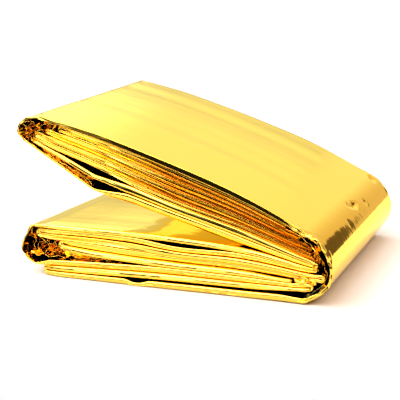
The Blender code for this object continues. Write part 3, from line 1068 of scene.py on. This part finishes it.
def stand_camera(scene, settings):
    """The camera, at the settings' place."""
    lens = bpy.data.cameras.new("camera")
    lens.lens = settings.camera_lens
    lens.sensor_width = SENSOR_WIDTH
    lens.clip_start, lens.clip_end = NEAREST_SEEN, FARTHEST_SEEN
    camera = bpy.data.objects.new("camera", lens)
    camera.location = settings.camera_place
    camera.rotation_euler = settings.camera_turn
    scene.collection.objects.link(camera)
    scene.camera = camera


# ---------------------------------------------------------------------------------------------
# Settings, operators and panel
# ---------------------------------------------------------------------------------------------

class FilmSettings(bpy.types.PropertyGroup):
    """How the gold film looks."""

    film_colour: bpy.props.FloatVectorProperty(
        name="Film colour", description="Colour of the metal coating", size=3, subtype="COLOR",
        default=(1.0, 0.655, 0.088), min=0.0, max=1.0)
    glancing_tint: bpy.props.FloatVectorProperty(
        name="Glancing tint", description="Tint of what the film mirrors at a low angle", size=3,
        subtype="COLOR", default=(1.0, 1.0, 0.65), min=0.0, max=1.0)
    film_roughness: bpy.props.FloatProperty(
        name="Film roughness", description="Blur of what the film mirrors",
        default=0.05, min=0.0, max=1.0)
    crease_strength: bpy.props.FloatProperty(
        name="Crease strength", description="Strength of the fine relief on the film",
        default=0.10, min=0.0, max=1.0)
    ply_thickness: bpy.props.FloatProperty(
        name="Ply thickness", description="Thickness of the loose plies inside the ends",
        default=0.00006, min=0.0, precision=6, unit="LENGTH")


class StageSettings(bpy.types.PropertyGroup):
    """The floor, the light and the camera round the packet."""

    floor_colour: bpy.props.FloatVectorProperty(
        name="Floor colour", description="Colour of the paper under the packet", size=3,
        subtype="COLOR", default=(0.56, 0.545, 0.53), min=0.0, max=1.0)
    sky_strength: bpy.props.FloatProperty(
        name="Sky strength", description="Brightness of the studio's soft light",
        default=0.8, min=0.0)
    camera_lens: bpy.props.FloatProperty(
        name="Camera lens", description="Focal length", default=106.1, min=10.0, unit="CAMERA")
    camera_place: bpy.props.FloatVectorProperty(
        name="Camera place", description="Where the camera stands", size=3,
        subtype="TRANSLATION", unit="LENGTH", default=(0.14744, -0.41763, 0.12794))
    camera_turn: bpy.props.FloatVectorProperty(
        name="Camera turn", description="How the camera is turned", size=3, subtype="EULER",
        unit="ROTATION", default=(1.33490, 0.0, 0.35371))


class FOIL_OT_cover(bpy.types.Operator):
    """Build the cover: the lengths that go over the top, round the closed end and under"""

    bl_idname = "foil.cover"
    bl_label = "Build cover"

    def execute(self, context):
        film_piece(context.scene.foil_film, "cover", "hanging 2", "lower 2", 110, 8)
        return {"FINISHED"}


class FOIL_OT_folds(bpy.types.Operator):
    """Build the folds inside the cover: the stack of the upper half and that of the lower half"""

    bl_idname = "foil.folds"
    bl_label = "Build folds"

    def execute(self, context):
        film_piece(context.scene.foil_film, "upper_folds", "", "hanging 2", 8, 8)
        film_piece(context.scene.foil_film, "lower_folds", "lower 2", "", 16, 8)
        return {"FINISHED"}


class FOIL_OT_plies(bpy.types.Operator):
    """Build the loose plies of film that show inside the ends"""

    bl_idname = "foil.plies"
    bl_label = "Build loose plies"

    def execute(self, context):
        loose_plies(context.scene.foil_film)
        return {"FINISHED"}


class FOIL_OT_stage(bpy.types.Operator):
    """Lay the paper floor, hang the soft studio light and stand the camera"""

    bl_idname = "foil.stage"
    bl_label = "Build stage"

    def execute(self, context):
        settings = context.scene.foil_stage
        paper_floor(context.scene, settings.floor_colour)
        studio_sky(context.scene, settings.sky_strength)
        stand_camera(context.scene, settings)
        context.scene.view_settings.view_transform = "Standard"
        return {"FINISHED"}


class FOIL_PT_panel(bpy.types.Panel):
    """The foil blanket's settings and steps"""

    bl_idname = "FOIL_PT_panel"
    bl_label = "Foil Blanket"
    bl_space_type = "VIEW_3D"
    bl_region_type = "UI"
    bl_category = "Foil Blanket"

    def draw(self, context):
        for group in (context.scene.foil_film, context.scene.foil_stage):
            for name in group.__annotations__:
                self.layout.prop(group, name)
        for operator in STEPS:
            self.layout.operator(operator.bl_idname)


STEPS = (FOIL_OT_cover, FOIL_OT_folds, FOIL_OT_plies, FOIL_OT_stage)
CLASSES = (FilmSettings, StageSettings, *STEPS, FOIL_PT_panel)


def register():
    for cls in CLASSES:
        bpy.utils.register_class(cls)
    bpy.types.Scene.foil_film = bpy.props.PointerProperty(type=FilmSettings)
    bpy.types.Scene.foil_stage = bpy.props.PointerProperty(type=StageSettings)


def unregister():
    del bpy.types.Scene.foil_stage
    del bpy.types.Scene.foil_film
    for cls in reversed(CLASSES):
        bpy.utils.unregister_class(cls)


def main():
    """Build every piece and the stage."""
    register()
    for old in list(bpy.data.objects):
        if old.type in {"CAMERA", "LIGHT"}:
            bpy.data.objects.remove(old, do_unlink=True)
    bpy.ops.foil.stage()
    bpy.ops.foil.cover()
    bpy.ops.foil.folds()
    bpy.ops.foil.plies()


if __name__ == "__main__":
    main()
